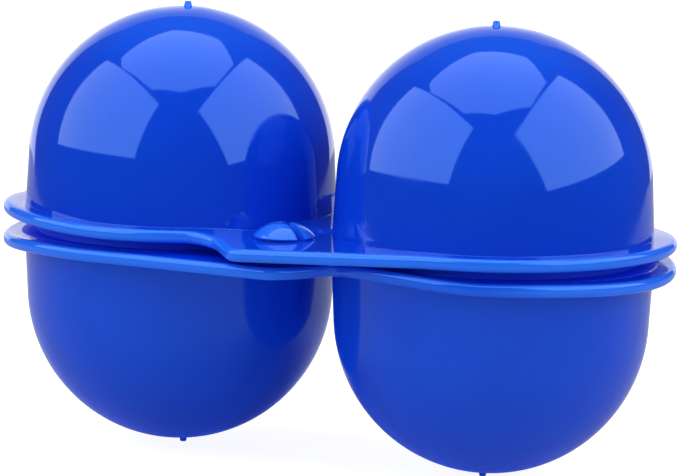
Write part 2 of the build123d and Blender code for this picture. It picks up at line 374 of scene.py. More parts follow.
class Nodes:
    """Nodes of a new material, with short ways to add and join them."""

    def __init__(self, name: str) -> None:
        """Makes the material with its Principled shader."""
        self.material = bpy.data.materials.new(name)
        self.material.use_nodes = True
        self.shader = self.material.node_tree.nodes["Principled BSDF"]

    def feed(self, node: bpy.types.Node, inputs: dict) -> None:
        """Sets a node's inputs.

        Args:
            node: The node.
            inputs: A value, or another node's output to be linked, for each input.
        """
        for key, value in inputs.items():
            if isinstance(value, Socket):
                self.material.node_tree.links.new(value, node.inputs[key])
            else:
                node.inputs[key].default_value = value

    def add(self, kind: str, output: str | int, inputs: dict, **settings: str) -> Socket:
        """Adds a node.

        Args:
            kind: Its type, without the word ShaderNode.
            output: The output that is wanted.
            inputs: A value or another node's output for each.
            **settings: Its options.

        Returns:
            The output.
        """
        node = self.material.node_tree.nodes.new("ShaderNode" + kind)
        for key, value in settings.items():
            setattr(node, key, value)
        self.feed(node, inputs)
        return node.outputs[output]

    def noise(self, scale: float, detail: float, stretch: tuple = (1, 1, 1)) -> Socket:
        """Noise on object coordinates.

        Args:
            scale: Features to a metre.
            detail: How fine its detail goes.
            stretch: How much of each coordinate is used.

        Returns:
            Its value.
        """
        place = self.add("TexCoord", "Object", {})
        spot = self.add("Mapping", "Vector", {"Vector": place, "Scale": stretch})
        return self.add("TexNoise", "Fac", {"Vector": spot, "Scale": scale, "Detail": detail})

    def remap(self, value: Socket, source: tuple, target: tuple, **settings: str) -> Socket:
        """Maps a value's range to another, clamped.

        Args:
            value: The value.
            source: Its two ends.
            target: What they become.
            **settings: Options of the node.

        Returns:
            The new value.
        """
        ends = zip(("From Min", "From Max", "To Min", "To Max"), (*source, *target))
        return self.add("MapRange", "Result", {"Value": value, **dict(ends)}, **settings)

    def blend(self, factor: Socket, a: Socket | tuple, b: tuple) -> Socket:
        """Mixes two colours.

        Args:
            factor: Share of the second.
            a: The first, a colour or another node's output.
            b: The second.

        Returns:
            The mixed colour.
        """
        a = a if isinstance(a, Socket) else (*a, 1.0)
        colours = {"Factor": factor, "A": a, "B": (*b, 1.0)}
        return self.add("Mix", "Result", colours, data_type="RGBA")

    def join(self, operation: str, a: Socket, b: Socket) -> Socket:
        """Works out one value from two."""
        return self.add("Math", 0, {0: a, 1: b}, operation=operation)


@dataclass(frozen=True)
class MouldedPlastic:
    """Glossy moulded polypropylene, with painted glow: its colour pales where the wall is thin,
    standing in for light that passes through the plastic.

    Colours are linear. A noise is its number of features to a metre, its detail and, where it is
    stretched, how much along each axis.
    """

    name: str
    body: tuple = (0.0026, 0.0500, 0.640)  # the mass
    cast: tuple = (0.0032, 0.0570, 0.680)  # its faint cloudy patches
    glow: tuple = (0.0180, 0.1700, 1.000)  # painted glow of thin parts, standing in for light that passes through them
    gap_glow: tuple = (0.0016, 0.0400, 0.880)  # painted gap glow: brighter, more saturated blue between the flanges, standing in for light gathered there
    tint: tuple = (0.22, 0.50, 1.0)  # mirror reflection seen square on
    index: float = 1.6  # of refraction
    roughness: float = 0.055  # of the clean surface
    handled: float = 0.12  # the same where it has been rubbed
    matt: float = 0.17  # the same between the flanges
    rim_matt: float = 0.60  # the same on the rims in the mouths
    patches: tuple = (55, 3)  # the cloudy patches
    patch_edge: tuple = (0.35, 0.65)  # values that one fades in between
    rubbing: tuple = (90, 5)  # the rubbed places
    rub_edge: tuple = (0.48, 0.78)  # values that one fades in between
    streaks: tuple = (260, 4, (1.0, 1.0, 0.06))  # streaks along the height
    most_rubbed: float = 0.6  # product of both when fully rubbed
    swell: tuple = (85, 2)  # the skin's slow unevenness
    swell_depth: float = 0.000020  # its depth, in metres
    grain: tuple = (900, 3)  # its fine unevenness
    grain_depth: float = 0.0000012  # its depth, in metres

    def material(self) -> Material:
        """Builds the node tree.

        Colour is body mixed with cast by slow noise, then with the painted glow where the thin
        attribute is above 0, and with gap_glow, painted light between the flanges, where it is
        below. Roughness rises in slow patches and in fine streaks along the height, and is at
        least matt between the flanges and rim_matt on the rims there. The skin is two noises added
        as height.

        Returns:
            The material.
        """
        tree = Nodes(self.name)
        thin = tree.add("Attribute", "Fac", {}, attribute_name="thin")
        patch = tree.remap(tree.noise(*self.patches), self.patch_edge, (0.0, 1.0))
        colour = tree.blend(patch, self.body, self.cast)
        # painted light: glow where the thin attribute is above 0, gap_glow where it is below
        colour = tree.blend(thin, colour, self.glow)
        colour = tree.blend(tree.remap(thin, (GAP, 0.0), (1.0, 0.0)), colour, self.gap_glow)

        rub = tree.remap(tree.noise(*self.rubbing), self.rub_edge, (0.0, 1.0))
        rub = tree.join("MULTIPLY", rub, tree.noise(*self.streaks))
        rough = tree.remap(rub, (0.0, self.most_rubbed), (self.roughness, self.handled))
        for thinness, least in (((GAP, 0.0), self.matt), ((RIM, GAP), self.rim_matt)):
            rough = tree.join("MAXIMUM", rough, tree.remap(thin, thinness, (least, 0.0)))

        skin = {}
        for noise, depth in ((self.swell, self.swell_depth), (self.grain, self.grain_depth)):
            inputs = {"Strength": 1.0, "Distance": depth, "Height": tree.noise(*noise), **skin}
            skin = {"Normal": tree.add("Bump", "Normal", inputs)}
        tree.feed(tree.shader, {
            "Base Color": colour, "Roughness": rough, "IOR": self.index,
            "Specular IOR Level": 1.0, "Specular Tint": (*self.tint, 1.0), **skin,
        })
        return tree.material


@dataclass(frozen=True)
class Bend:
    """A stretch of a ring's rim that the moulding let bow up or down."""

    side: int  # -1 for the left ring, 1 for the right
    towards: float  # direction of its middle, in degrees
    spread: float  # angle from there to its ends
    drop: float  # how far the rim hangs, in millimetres; below 0 it rises
    free_x: float = -FAR  # line along X left of which nothing bows
    fade: float = 6.0  # over which it fades in from there
    inside: float = 3.5  # from the cup's mouth in to where it begins
    short: float = 1.0  # from the ring's edge in to where it is full

    def fall(self, x: Array, y: Array, sizes: KeeperSizes) -> Array:
        """How far points hang: drop (1 - (angle off / spread)^2)^2, eased in across the ring.

        Args:
            x: X of the points.
            y: Y of the points.
            sizes: Sizes of the keeper.

        Returns:
            Distances downwards, in millimetres.
        """
        dx, dy = x - self.side * sizes.cup_x, y - sizes.axis_y
        off = np.degrees(np.arctan2(dy, dx)) - self.towards
        off = (off + 180) % 360 - 180
        bump = np.clip(1 - (off / self.spread) ** 2, 0, 1) ** 2
        ease = smoothstep(np.hypot(dx, dy), sizes.mouth_r - self.inside, sizes.ring_r - self.short)
        return self.drop * bump * ease * smoothstep(x, self.free_x, self.free_x + self.fade)


@dataclass
class Flange:
    """One flange: two rings, a web between them and a finger tab at the front.

    The tab's front edge runs straight off the right ring, round the tab's corner and back into
    the left ring; the base's is mirrored. Sizes are in millimetres, and a glow is a value of the
    thin attribute: a share of painted glow, a paler colour standing in for light through the
    plastic.
    """

    half: Half
    sizes: KeeperSizes
    tab_x: float  # middle of the tab's corner
    tab_r: float  # radius of that corner
    tab_out: float  # from the rings' front to the corner's
    shoulder_r: float  # inward curve beside the tab
    hole_r: float  # holes that the cups fill
    snap_hole_r: float = 0.0  # hole for the stud; 0 for none
    drop: float = 0.0  # joggle of the tab towards the base
    bends: tuple = ()  # stretches of its rim that bow
    shaded: tuple = (FAR, FAR)  # lines along X; between them the edge's glow is cut back as painted shade from the lid's tab
    shade_ease: tuple = (6.0, 10.0)  # distances over which shade begins and ends
    edge_r: float = 0.8  # rounding of the outer edge
    flank: tuple = (-12.1, 11.0)  # end of the tab's slant: X, Y behind the front
    flank_r: float = 2.5  # radius about that point
    joggle: tuple = (-14.8, -2.2)  # lines along X that it falls between
    joggle_back: tuple = (5.5, 2.8)  # from the stud to where it fades, and over what
    cell: tuple = (1.1, 0.95)  # spacing of the lattice's points along X and Y
    margin: float = 5.0  # of the lattice before and behind the rings
    clear: tuple = (0.6, 0.75)  # of its points from the strip at the edge and from a hole
    seam: float = 0.25  # strips of small faces along edges
    face_glow: tuple = (0.35, 0.2, 0.8)  # painted glow on the face near its edge: most, start, reach
    gap_edge: tuple = (0.2, 1.2)  # where the gap's face turns from painted edge glow to the painted gap glow
    edge_glow: tuple = (0.80, 0.10, 0.55)  # painted glow of the edge: plain, more where outermost, less in painted shade

    def outline(self, step: float = 0.5) -> Pair:
        """Works out the edge of the plan, and its outward normals.

        Arcs of the two rings, of the tab's corner and of the shoulder are joined by their common
        tangents: a line that touches two circles of radii a and b whose centres are d apart has a
        normal at arccos((a - b) / d) to the line of centres.

        Args:
            step: Spacing of the points.

        Returns:
            Points and normals, counterclockwise from the back.
        """
        s, side = self.sizes, self.half.up
        ring, plain = np.array([s.cup_x, s.axis_y]), np.array([-s.cup_x, s.axis_y])
        tab = np.array([side * self.tab_x, s.front_y - self.tab_out + self.tab_r])
        flank = np.array([self.flank[0], s.front_y + self.flank[1]])

        def tangent(start: tuple, end: tuple) -> Array:
            """Outward normal of the line from one circle to another; an inward arc's r is < 0."""
            (c1, r1), (c2, r2) = start, end
            away = np.clip((r1 - r2) / np.linalg.norm(c2 - c1), -1, 1)
            return turned(unit(c2 - c1), -np.arccos(away))

        slant = tangent((flank, self.flank_r), (tab, self.tab_r))
        along = turned(slant, np.pi / 2)
        base = tab + (self.tab_r + self.shoulder_r) * slant - plain
        b = base @ along
        reach = np.sqrt(b * b - base @ base + (s.ring_r + self.shoulder_r) ** 2) - b
        shoulder = plain + base + reach * along
        circles = [(plain, s.ring_r), (shoulder, -self.shoulder_r), (tab, self.tab_r),
                   (ring, s.ring_r)]
        lasts = [circles[-1], *circles[:-1]]
        normals = [tangent(*pair) for pair in zip(lasts, circles)]
        pts, nrm = [], []
        for (last, last_r), (c, r), n, after in zip(
            lasts, circles, normals, [*normals[1:], normals[0]]
        ):
            p, q = last + last_r * n, c + r * n
            t = np.linspace(0, 1, max(int(np.linalg.norm(q - p) / step), 2))[:, None]
            sign, start = np.sign(r), heading(n)
            sweep = sign * ((sign * (heading(after) - start)) % (2 * np.pi))
            out = arc((0, 0), 1, start, start + sweep, max(int(abs(sweep * r) / step), 6))
            pts += [p + t * (q - p), c + r * out]
            nrm += [n + 0 * t, out]
        pts, nrm = np.concatenate(pts), np.concatenate(nrm)
        gap = np.linalg.norm(pts - np.roll(pts, 1, axis=0), axis=1)
        pts, nrm = pts[gap > 1e-3], nrm[gap > 1e-3]
        if side < 0:
            pts, nrm = pts[::-1] * [-1, 1], nrm[::-1] * [-1, 1]
        return pts, nrm

    def sink(self, plan: Array) -> Array:
        """How far the flange is joggled down at points of its plan.

        Along X it eases from 0 to the full drop as a smoothstep, then rises straight to 0 at the
        far cup's axis. Behind the tab it fades out. The bows of the rim come on top.

        Args:
            plan: The points.

        Returns:
            Distances downwards.
        """
        s, x, y = self.sizes, plan[..., 0], plan[..., 1]
        down = smoothstep(x, *self.joggle)
        up = 1 - np.clip((x - self.joggle[1]) / (s.cup_x - self.joggle[1]), 0, 1)
        behind = s.front_y + s.snap_inset + self.joggle_back[0]
        back = 1 - smoothstep(y, behind, behind + self.joggle_back[1])
        return self.drop * down * up * back + sum(b.fall(x, y, s) for b in self.bends)

    def level(self, plan: Array) -> Array:
        """Height of the flange's middle plane: flat, less the joggle.

        Args:
            plan: Points of the plan.

        Returns:
            Heights above the table.
        """
        s = self.sizes
        flat = s.part_z + self.half.up * (s.half_gap + s.flange_t / 2)
        return flat - self.sink(plan)

    def plan(self, rim: Array, inner: Array, rings: list) -> Pair:
        """Triangulates the plan: an even lattice, with a strip along its edge and its holes.

        Args:
            rim: The line where the edge's rounding starts.
            inner: The same line, a seam's width further in.
            rings: Centre, radius and number of points of each hole.

        Returns:
            Points and triangles.
        """
        s = self.sizes
        span_x, span_y = s.cup_x + s.ring_r, s.ring_r + self.margin
        gx, gy = np.meshgrid(
            np.arange(-span_x, span_x, self.cell[0]),
            np.arange(s.axis_y - span_y, s.axis_y + span_y, self.cell[1]),
        )
        gx[1::2] += self.cell[0] / 2
        lattice = np.stack([gx.ravel(), gy.ravel()], 1)
        clear = self.distance(lattice, inner[::2]) > self.clear[0]
        lattice = lattice[clear & self.within(lattice, inner)]
        for c, r, _ in rings:
            lattice = lattice[np.linalg.norm(lattice - c, axis=1) > r + self.clear[1]]

        guards = [circle(c, r + self.seam, n) for c, r, n in rings]
        loops = [rim, inner, *(circle(*ring) for ring in rings), *guards]
        starts = np.cumsum([0] + [len(loop) for loop in loops])
        edges = np.concatenate([
            np.stack([np.arange(n), np.roll(np.arange(n), -1)], 1) + at
            for at, n in zip(starts, map(len, loops))
        ])
        points = [Vector(p) for p in np.concatenate(loops + [lattice])]
        out, _, tris, *_ = delaunay_2d_cdt(points, edges.tolist(), [], 0, 1e-7)
        flat, tris = np.array([tuple(v) for v in out]), np.array(tris)
        middle = flat[tris].mean(1)
        keep = self.within(middle, rim)
        for c, r, _ in rings:
            keep &= np.linalg.norm(middle - c, axis=1) > r * np.cos(np.pi / FINE_STEPS) - 1e-3
        return flat, tris[keep]

    def build(self, material: Material, nodes: Sequence[str]) -> None:
        """Makes the flange as one closed plate.

        Its faces are the level plus and minus half the thickness over one triangulated plan. Its
        edge is a profile carried along the outline: at an angle u it stands edge_r (1 - sin u)
        inside the outline and edge_r (1 - cos u) from the face. Holes have straight walls.

        Args:
            material: Its finish.
            nodes: CAD nodes that it stands for.
        """
        s = self.sizes
        pts, nrm = self.outline()
        half_t = s.flange_t / 2
        rings = [(np.array([x, s.axis_y]), self.hole_r, ROUND_STEPS) for x in (-s.cup_x, s.cup_x)]
        if self.snap_hole_r:
            stud = np.array([0.0, s.front_y + s.snap_inset])
            rings.append((stud, self.snap_hole_r, FINE_STEPS))
        rim = pts - self.edge_r * nrm
        flat, tris = self.plan(rim, pts - (self.edge_r + self.seam) * nrm, rings)

        shell = Shell()
        # painted glow on both faces, strongest at the edge
        far = self.distance(flat, rim)
        most, start, reach = self.face_glow
        glow = np.exp(-(far + start) / reach) * most
        for facing in (1, -1):
            # the face towards the gap takes the painted gap glow away from its edge
            in_gap = facing == -self.half.up
            shell.add(
                np.column_stack([flat, self.level(flat) + facing * half_t]),
                tris[:, ::facing],
                glow + GAP * smoothstep(far, *self.gap_edge) if in_gap else glow,
            )

        u = QUARTER
        inset = self.edge_r * (1 - np.sin(np.r_[u, u[::-1]]))
        height = half_t - self.edge_r * (1 - np.cos(u))
        xy = pts[:, None] - inset[None, :, None] * nrm[:, None]
        z = self.level(rim)[:, None] + np.r_[height, -height[::-1]]
        # painted glow of the edge, cut back by painted shade under the lid's tab
        (left, right), (ease_in, ease_out) = self.shaded, self.shade_ease
        shade = smoothstep(rim[:, 0], left - ease_in, left)
        shade = shade * (1 - smoothstep(rim[:, 0], right, right + ease_out)) * (rim[:, 1] < 0)
        plain, more, less = self.edge_glow
        glow = plain + more * (1 - inset / self.edge_r) - less * shade[:, None]
        shell.add(np.dstack([xy, z]), grid_faces(len(pts), len(inset), close_rows=True), glow)

        # painted glow on the hole walls
        for hole in (circle(*ring) for ring in rings):
            z = self.level(hole)[:, None] + half_t * np.array([1.0, -1.0])
            wall = np.dstack([np.repeat(hole[:, None], 2, axis=1), z])
            shell.add(wall, grid_faces(len(hole), 2, close_rows=True), THIN_GLOW)
        shell.piece(self.half.value + "_flange_plate", self.half, material, nodes)

    @staticmethod
    def within(points: Array, loop: Array) -> Array:
        """Which points a loop holds: a ray to the right crosses it an odd number of times.

        Args:
            points: The points.
            loop: Corners of the loop.

        Returns:
            True for those inside.
        """
        x, y = points[:, :1], points[:, 1:]
        a, b = loop, np.roll(loop, -1, axis=0)
        spans = (a[:, 1] > y) != (b[:, 1] > y)
        rise = np.where(b[:, 1] == a[:, 1], 1e-12, b[:, 1] - a[:, 1])
        cut = a[:, 0] + (y - a[:, 1]) * (b[:, 0] - a[:, 0]) / rise
        return ((spans & (x < cut)).sum(1) % 2).astype(bool)

    @staticmethod
    def distance(points: Array, loop: Array) -> Array:
        """Distance from each point to the nearest point of a loop."""
        return np.linalg.norm(points[:, None] - loop[None], axis=2).min(1)


@dataclass
class Cup:
    """One domed cup, a hollow of revolution on its flange. Sizes are in millimetres."""

    name: str  # CAD node that it stands for
    half: Half
    x: float  # place of its axis
    flange: Flange  # the flange that it grows from
    gate: tuple = (0.0, 0.0)  # place of the moulding mark off the axis
    gate_h: float = 1.0  # how far it stands out
    gate_root_r: float = 0.68  # its radius at its foot
    gate_tip_r: float = 0.50  # its radius at its end
    gate_round: float = 0.12  # rounding of that end
    gate_spread: tuple = (1.0, 6.0)  # radii between which its shift fades out
    foot_r: float = 0.1  # curve at the wall's foot
    foot_flow: tuple = (0.6, 6.0)  # heights over which the bows fade out
    rim_fit: float = 0.3  # play of the base's rim in the lid's mouth
    rim_t: float = 1.2
    rim_h: float = 2.2  # from its own flange to its top
    rim_lead: float = 0.45  # lead-in at its top
    rim_seat: float = 1.6  # how deep below the flange it starts
    rim_rounds: tuple = (0.5, 0.4, 0.2, 0.12, 0.12, 0.15)  # its roundings, up and over it
    rim_skin: tuple = (0.1, 0.9)  # its rough skin, which also takes the painted gap glow: past the flange's face, in from the wall
    mouth_round: float = 0.25  # rounding inside a lid's mouth
    cell: tuple = (0.8, 1.2)  # longest faces along the wall and round the mouth
    dome_steps: tuple = (72, 88)  # points along the dome, inside and outside
    dome_h: float = 10.0  # above it all is dome or mark
    top_glow: tuple = (0.30, 25.0, 35.5)  # painted light: thin attribute of a lid's dome, paler towards its top as if lit through from overhead, and where it grows

    def profile(self) -> Array:
        """Half section from the pole inside to the pole outside, as (radius, distance outwards).

        The wall is straight with its draft, and runs smoothly into a dome of one radius, so that
        radius = (mouth / tan draft - rise) / (1 / sin draft - 1). The inside is the outside moved
        in by the wall.

        Returns:
            Points of the section.
        """
        s = self.flange.sizes
        depth, slope = s.depth(self.half), np.radians(s.draft)
        dome = (s.mouth_r / np.tan(slope) - (depth - s.flange_out)) / (1 / np.sin(slope) - 1)
        end_r = dome * np.cos(slope)
        end = np.array([end_r, s.flange_out + (s.mouth_r - end_r) / np.tan(slope)])
        centre = np.array([0.0, depth - dome])
        inside = arc(centre, dome - s.wall, np.pi / 2, slope, self.dome_steps[0])
        collar = s.mouth_r + s.cove_r
        if self.half is Half.BASE:
            rim = s.mouth_r - s.wall - self.rim_fit
            seat = s.flange_out + self.rim_seat
            at = seat + self.rim_seat
            last_r, last_h = end - s.wall * np.array([np.cos(slope), np.sin(slope)])
            r_at = np.interp(at, [s.half_gap, last_h], [s.mouth_r - s.wall, last_r])
            top = -(s.half_gap + self.rim_h)
            mouth = rounded(
                [inside[-1], (r_at, at), (rim - self.rim_t, seat), (rim - self.rim_t, top),
                 (rim - self.rim_lead, top), (rim, top + self.rim_lead), (rim, s.half_gap),
                 (collar, s.half_gap), (collar, s.flange_out)],
                [0, *self.rim_rounds, 0, 0],
            )
        else:
            low = s.flange_out - s.sunk
            mouth = rounded(
                [inside[-1], (s.mouth_r - s.wall, s.half_gap), (s.mouth_r, s.half_gap),
                 (s.mouth_r, low), (s.mouth_r + self.foot_r, low)],
                [0, self.mouth_round, 0, 0, 0],
            )
        u = QUARTER
        wide, narrow = s.mouth_r + self.foot_r, s.mouth_r - self.foot_r * np.tan(slope)
        foot_h = s.flange_out + self.foot_r - self.foot_r * np.cos(u)
        cove = np.stack([wide - (wide - narrow) * np.sin(u), foot_h], 1)
        root_h = centre[1] + np.sqrt(dome**2 - self.gate_root_r**2)
        near_pole = np.pi / 2 - self.gate_root_r / dome
        outside = arc(centre, dome, slope, near_pole, self.dome_steps[1])
        tip_h = depth + self.gate_h
        tip = rounded(
            [outside[-1], (self.gate_root_r, root_h), (self.gate_tip_r, tip_h), (0, tip_h)],
            [0, 0, self.gate_round, 0],
        )
        wall = dense(np.stack([cove[-1], end]), self.cell[0])
        mouth = dense(mouth, self.cell[1])
        parts = [inside, mouth[1:], cove, wall[1:], outside[1:], tip[1:]]
        return spaced(np.concatenate(parts), 1e-4)

    def build(self, material: Material) -> None:
        """Turns the section round the axis.

        The wall's foot is then lowered by the flange's joggle, and the mark is moved aside.

        Args:
            material: Its finish.
        """
        s = self.flange.sizes
        line = self.profile()
        r, h = line[:, 0], line[:, 1]
        axis = (self.x, s.axis_y, s.part_z)
        pts = lathe(np.stack([r, self.half.up * h], 1), around(ROUND_STEPS), axis)
        outer = np.arange(len(line)) > int(np.argmax(r)) - 2  # from just before the widest
        low, high = (s.flange_out + v for v in self.foot_flow)
        follows = outer * (1 - smoothstep(h, low, high)) * (h > s.half_gap - SLACK)
        pts[..., 2] -= follows[:, None] * self.flange.sink(pts)
        mark = outer * (h > self.dome_h) * (1 - smoothstep(r, *self.gate_spread))
        pts[..., :2] += mark[:, None, None] * np.array(self.gate)
        past, in_from = self.rim_skin
        # rough skin of the rim, which also takes the painted gap glow
        rim = RIM * (h < s.half_gap + past) * (r > s.mouth_r - s.wall - in_from)
        # painted glow on the slender mark, standing in for light through it
        tip = SLENDER_GLOW * (outer & (r < self.gate_root_r + SLACK) & (h > self.dome_h))
        # painted light on the lid's dome top, standing in for overhead light shining through it
        most, low, high = self.top_glow
        top_glow = most * outer * smoothstep(h, low, high) * (self.half is Half.LID)
        thin = np.repeat(rim + np.maximum(top_glow, tip), ROUND_STEPS)
        shell = Shell()
        shell.add(pts, grid_faces(len(line), ROUND_STEPS, close_cols=True), thin)
        shell.piece(self.name + "_shell", self.half, material, [self.name])


@dataclass
class SnapStud:
    """Stud for the lid's tab: a boss, and a head slit into three prongs. Sizes in millimetres."""

    sizes: KeeperSizes
    head_r: float = 4.85  # at its lip
    top_r: float = 1.7  # the head's at its top
    head_h: float = 2.3
    head_play: float = 0.24  # between the lid's tab and the head
    lip: float = 0.3  # bevel below the head's lip
    crown: float = 0.3  # bulge of the head's side
    neck_r: float = 3.6  # in the lid's hole
    boss_r: float = 5.4  # below the lid's tab
    boss_round: float = 0.2  # rounding of its top edge
    slit: float = 1.4  # between the prongs
    prongs: tuple = (30.0, 150.0, 270.0)  # directions of their middles, in degrees
    prong_round: float = 0.12  # rounding of their edges
    cell: float = 0.5  # longest face under the head

    def head_section(self) -> Array:
        """Closed section of the head and neck, as (radius, height above the parting plane).

        The head's side is a straight line from lip to top, pushed out by crown times 4 t (1 - t).
        The section begins a hair outside the corner where two slits meet, which lies at
        slit / (2 sin 60 deg).

        Returns:
            Points of the section.
        """
        s = self.sizes
        low = s.boss_top - s.root
        under = s.flange_out - s.tab_drop + self.head_play
        top = under + self.head_h
        core = self.slit / 2 / np.sin(np.radians(60)) + SLACK
        t = np.linspace(0, 1, 18)[:, None]
        a, b = np.array([self.head_r, under + self.lip]), np.array([self.top_r, top])
        out = unit(np.array([b[1] - a[1], a[0] - b[0]]))
        side = a + t * (b - a) + 4 * t * (1 - t) * self.crown * out
        lip_r = self.head_r - self.lip
        foot = [[core, low], [self.neck_r, low], [self.neck_r, under], [lip_r, under]]
        return np.concatenate([dense(np.array(foot), self.cell), side, [[core, top]]])

    def build(self, material: Material) -> None:
        """Makes the boss and the prongs.

        A prong's point is at radius r and angle m + t (60 deg - arcsin(slit / 2r)), t from -1 to
        1, so its sides are flat and a slit's width away from the next prong's.

        Args:
            material: Its finish.
        """
        s = self.sizes
        axis = (0.0, s.front_y + s.snap_inset, s.part_z)
        shell = Shell()
        r, low, high = self.boss_r, -s.half_gap - s.sunk, s.boss_top
        boss = rounded([(0, low), (r, low), (r, high), (0, high)], [0, 0, self.boss_round, 0])
        faces = grid_faces(len(boss), PLAIN_STEPS, close_cols=True)
        # painted glow on the boss
        shell.add(lathe(boss, around(PLAIN_STEPS), axis), faces, BULKY_GLOW)

        section = self.head_section()
        half_slit = np.arcsin(self.slit / 2 / section[:, :1])
        t = np.linspace(-1, 1, 25)
        faces = grid_faces(len(section), len(t), close_rows=True).tolist()
        first = np.arange(len(section)) * len(t)
        faces += [first.tolist(), (first + len(t) - 1)[::-1].tolist()]
        for middle in np.radians(self.prongs):
            prong = lathe(section, middle + (np.radians(60) - half_slit) * t, axis)
            # painted glow: the prongs are paler, standing in for light through them
            shell.add(prong, faces, SLENDER_GLOW)
        shell.piece("snap_stud_prongs", Half.BASE, material, ["snap_stud"], self.prong_round)


@dataclass
class ClipHinge:
    """Two ears and a bar on the base, an open clip on the lid. Sizes in millimetres."""

    sizes: KeeperSizes
    bar_r: float = 1.5
    bar_play: float = 0.05  # between the bar and the clip's bore
    clip_length: float = 17.4  # along the bar
    mouth: float = 2.3  # width of the clip's opening
    mouth_turn: float = -40.0  # its direction in the (Y, Z) plane, in degrees
    ear_t: float = 2.4
    ear_foot: float = 0.6  # reach of an ear's foot past the flange's edge
    ear_play: float = 0.25  # between the clip and an ear
    ear_round: float = 0.25  # rounding of an ear's edges
    clip_round: float = 0.2  # rounding of the clip's edges

    @property
    def middle(self) -> Array:
        """Hinge axis, as (Y, Z)."""
        s = self.sizes
        return np.array([s.back_y + s.knuckle_play + s.knuckle_r, s.part_z])

    def prism(self, section: Array, start: float, end: float) -> tuple[Array, list]:
        """Carries a closed (Y, Z) section straight along X, with its two ends closed.

        Args:
            section: Points of the section.
            start: X of one end.
            end: X of the other.

        Returns:
            Points and faces.
        """
        n = len(section)
        x = np.repeat([[start], [end]], n, axis=1)
        pts = np.dstack([x, np.broadcast_to(section, (2, n, 2))])
        faces = grid_faces(2, n, close_cols=True).tolist()
        faces += [list(range(n)), list(range(2 * n - 1, n - 1, -1))]
        return pts, faces

    def clip_section(self) -> Array:
        """Section of the clip: an arm from the lid's flange, a round body, its bore and mouth.

        The mouth's two sides meet a circle of radius r at arcsin(half width / r) from its
        direction.

        Returns:
            Points (Y, Z) of the section.
        """
        s, turn = self.sizes, np.radians(self.mouth_turn)
        bore, body = self.bar_r + self.bar_play, s.knuckle_r
        low, high = s.half_gap, s.flange_out
        wide_out, wide_in = (np.arcsin(self.mouth / 2 / r) for r in (body, bore))
        arm = -(s.knuckle_r + s.knuckle_play)
        zero = np.zeros(2)
        parts = [
            np.array([[arm, low], [arm, high]]),
            arc(zero, body, np.pi - np.arcsin(high / body), turn + wide_out, 40),
            arc(zero, bore, turn + wide_in, turn + 2 * np.pi - wide_in, 48),
            arc(zero, body, turn - wide_out, -np.pi - np.arcsin(low / body), 48),
        ]
        return np.concatenate(parts) + self.middle

    def ear_section(self) -> Array:
        """Section of an ear: a round end, joined by tangents to the foot on the base's flange.

        The tangent from a point at a distance d meets the circle at arccos(r / d) from its
        direction.

        Returns:
            Points (Y, Z) of the section.
        """
        s = self.sizes
        low, high = -s.flange_out, -s.half_gap
        foot_y = s.back_y - self.middle[0]
        foot = np.array([[foot_y, high], [foot_y, low], [foot_y + self.ear_foot, low]])
        start, end = (
            heading(point) + side * np.arccos(s.knuckle_r / np.linalg.norm(point))
            for point, side in ((foot[2], 1), (foot[0], -1))
        )
        while end < start:
            end += 2 * np.pi
        return np.concatenate([foot, arc(np.zeros(2), s.knuckle_r, start, end, 64)]) + self.middle

    def build(self, base_finish: Material, lid_finish: Material) -> None:
        """Makes the ears, the bar and the clip.

        Args:
            base_finish: Finish of the ears and the bar.
            lid_finish: Finish of the clip.
        """
        half, ear = self.clip_length / 2, self.ear_section()
        reach = half + self.ear_play
        outer, pin = reach + self.ear_t, reach + self.sizes.root
        ears, bar, clip = Shell(), Shell(), Shell()
        # painted glow on the ears, bar and clip, standing in for light through the plastic
        ears.add(*self.prism(ear, -outer, -reach), THIN_GLOW)
        ears.add(*self.prism(ear, reach, outer), THIN_GLOW)
        ears.piece("hinge_ear_pair", Half.BASE, base_finish, ["hinge_ears"], self.ear_round)
        bar.add(*self.prism(circle(self.middle, self.bar_r, FINE_STEPS), -pin, pin), BULKY_GLOW)
        bar.piece("hinge_bar_round", Half.BASE, base_finish, ["hinge_bar"])
        clip.add(*self.prism(self.clip_section(), -half, half), THIN_GLOW)
        clip.piece("hinge_clip_open", Half.LID, lid_finish, ["hinge_clip"], self.clip_round)


@dataclass(frozen=True)
class SoftBox:
    """A rectangular soft light."""

    name: str
    glow: float  # brightness of its face
    place: tuple  # its middle, in units of its distance
    across: tuple  # direction of its width
    upright: tuple  # direction of its height
    size: tuple  # width and height, in the same units
    mirrored: bool = True  # shows in glossy surfaces

    def light(self, heart: Vector, distance: float) -> None:
        """Makes the light.

        Args:
            heart: Point that it is placed about, in metres.
            distance: Its distance in metres.
        """
        data = bpy.data.lights.new(self.name, "AREA")
        data.shape = "RECTANGLE"
        data.size, data.size_y = (distance * v for v in self.size)
        data.energy = self.glow * np.pi * data.size * data.size_y
        lamp = placed(self.name, data)
        lamp.visible_camera, lamp.visible_glossy = False, self.mirrored
        x, y = Vector(self.across).normalized(), Vector(self.upright)
        y = (y - y.dot(x) * x).normalized()
        turn = Matrix((x, y, x.cross(y))).transposed().to_4x4()
        lamp.matrix_world = Matrix.Translation(heart + distance * Vector(self.place)) @ turn


